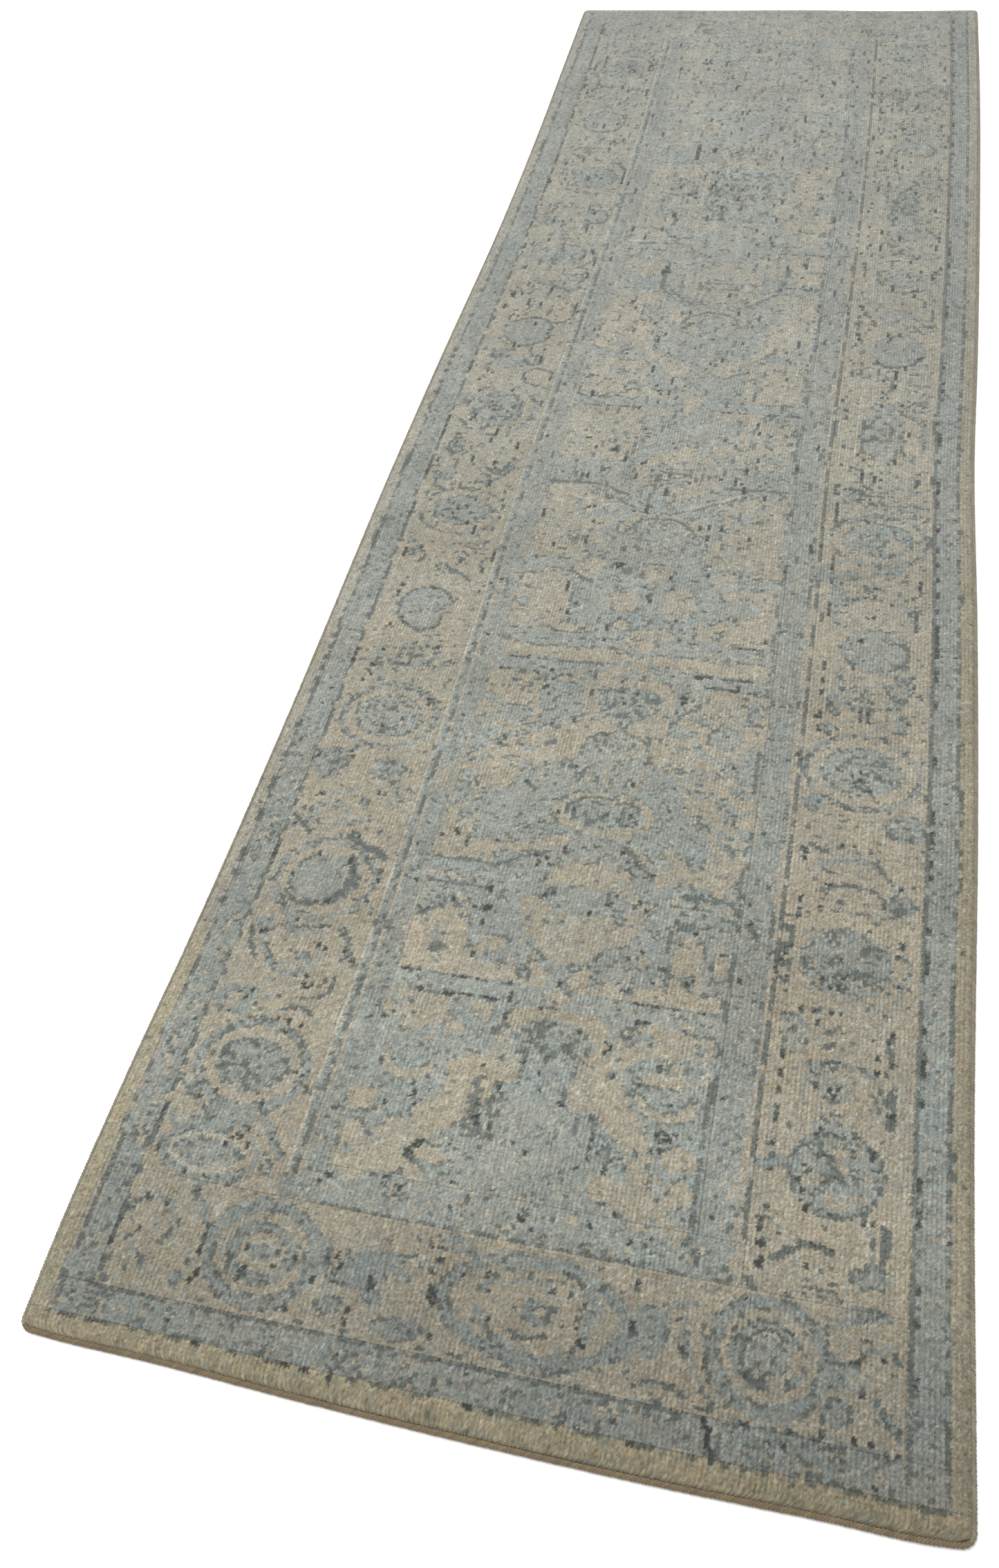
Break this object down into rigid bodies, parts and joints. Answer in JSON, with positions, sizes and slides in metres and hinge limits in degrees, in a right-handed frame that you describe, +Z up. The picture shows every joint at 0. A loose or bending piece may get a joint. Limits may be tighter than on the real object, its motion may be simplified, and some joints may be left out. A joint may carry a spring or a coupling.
{
  "type": "runner rug",
  "caption": "Long hand-knotted wool runner rug with wide patterned borders, low clipped pile, overcast edges and no fringe.",
  "frame": {"origin": "middle of the underside, on the floor the rug lies on", "axes": "+X across the rug, +Y along it from the near end to the far end, +Z up through the pile"},
  "size_m": [0.81, 2.77, 0.0095],
  "materials": {
    "cotton_ground": "woven cotton warp and weft, undyed, matt",
    "cotton_cord": "twisted cotton cord, matt",
    "cotton_hem": "flat-woven cotton, folded under, matt",
    "cotton_thread": "plied cotton sewing thread",
    "wool_overcast": "plied wool yarn wrapped round the edge cord, warm beige-brown, matt",
    "wool_edge_band": "clipped wool pile, plain warm tan with darker streaks",
    "wool_outer_guard": "clipped wool pile, grey-blue with dashes",
    "wool_main_border": "clipped wool pile, pale tan with blue-grey roundels and leaves",
    "wool_inner_guard": "clipped wool pile, mottled grey-blue",
    "wool_field": "clipped wool pile, grey-blue with pale tan flowers and charcoal spots"
  },
  "bodies": {
    "root": {"woven_ground": "cotton_ground", "core_cord_far": "cotton_cord", "core_cord_left": "cotton_cord", "core_cord_near": "cotton_cord", "core_cord_right": "cotton_cord", "edge_band_pile_far": "wool_edge_band", "edge_band_pile_left": "wool_edge_band", "edge_band_pile_near": "wool_edge_band", "edge_band_pile_right": "wool_edge_band", "field_pile": "wool_field", "folded_hem_far": "cotton_hem", "folded_hem_near": "cotton_hem", "hem_thread_far": "cotton_thread", "hem_thread_near": "cotton_thread", "inner_guard_pile_far": "wool_inner_guard", "inner_guard_pile_left": "wool_inner_guard", "inner_guard_pile_near": "wool_inner_guard", "inner_guard_pile_right": "wool_inner_guard", "main_border_pile_far": "wool_main_border", "main_border_pile_left": "wool_main_border", "main_border_pile_near": "wool_main_border", "main_border_pile_right": "wool_main_border", "outer_guard_pile_far": "wool_outer_guard", "outer_guard_pile_left": "wool_outer_guard", "outer_guard_pile_near": "wool_outer_guard", "outer_guard_pile_right": "wool_outer_guard", "overcast_far": "wool_overcast", "overcast_left": "wool_overcast", "overcast_near": "wool_overcast", "overcast_right": "wool_overcast"}
  },
  "joints": []
}
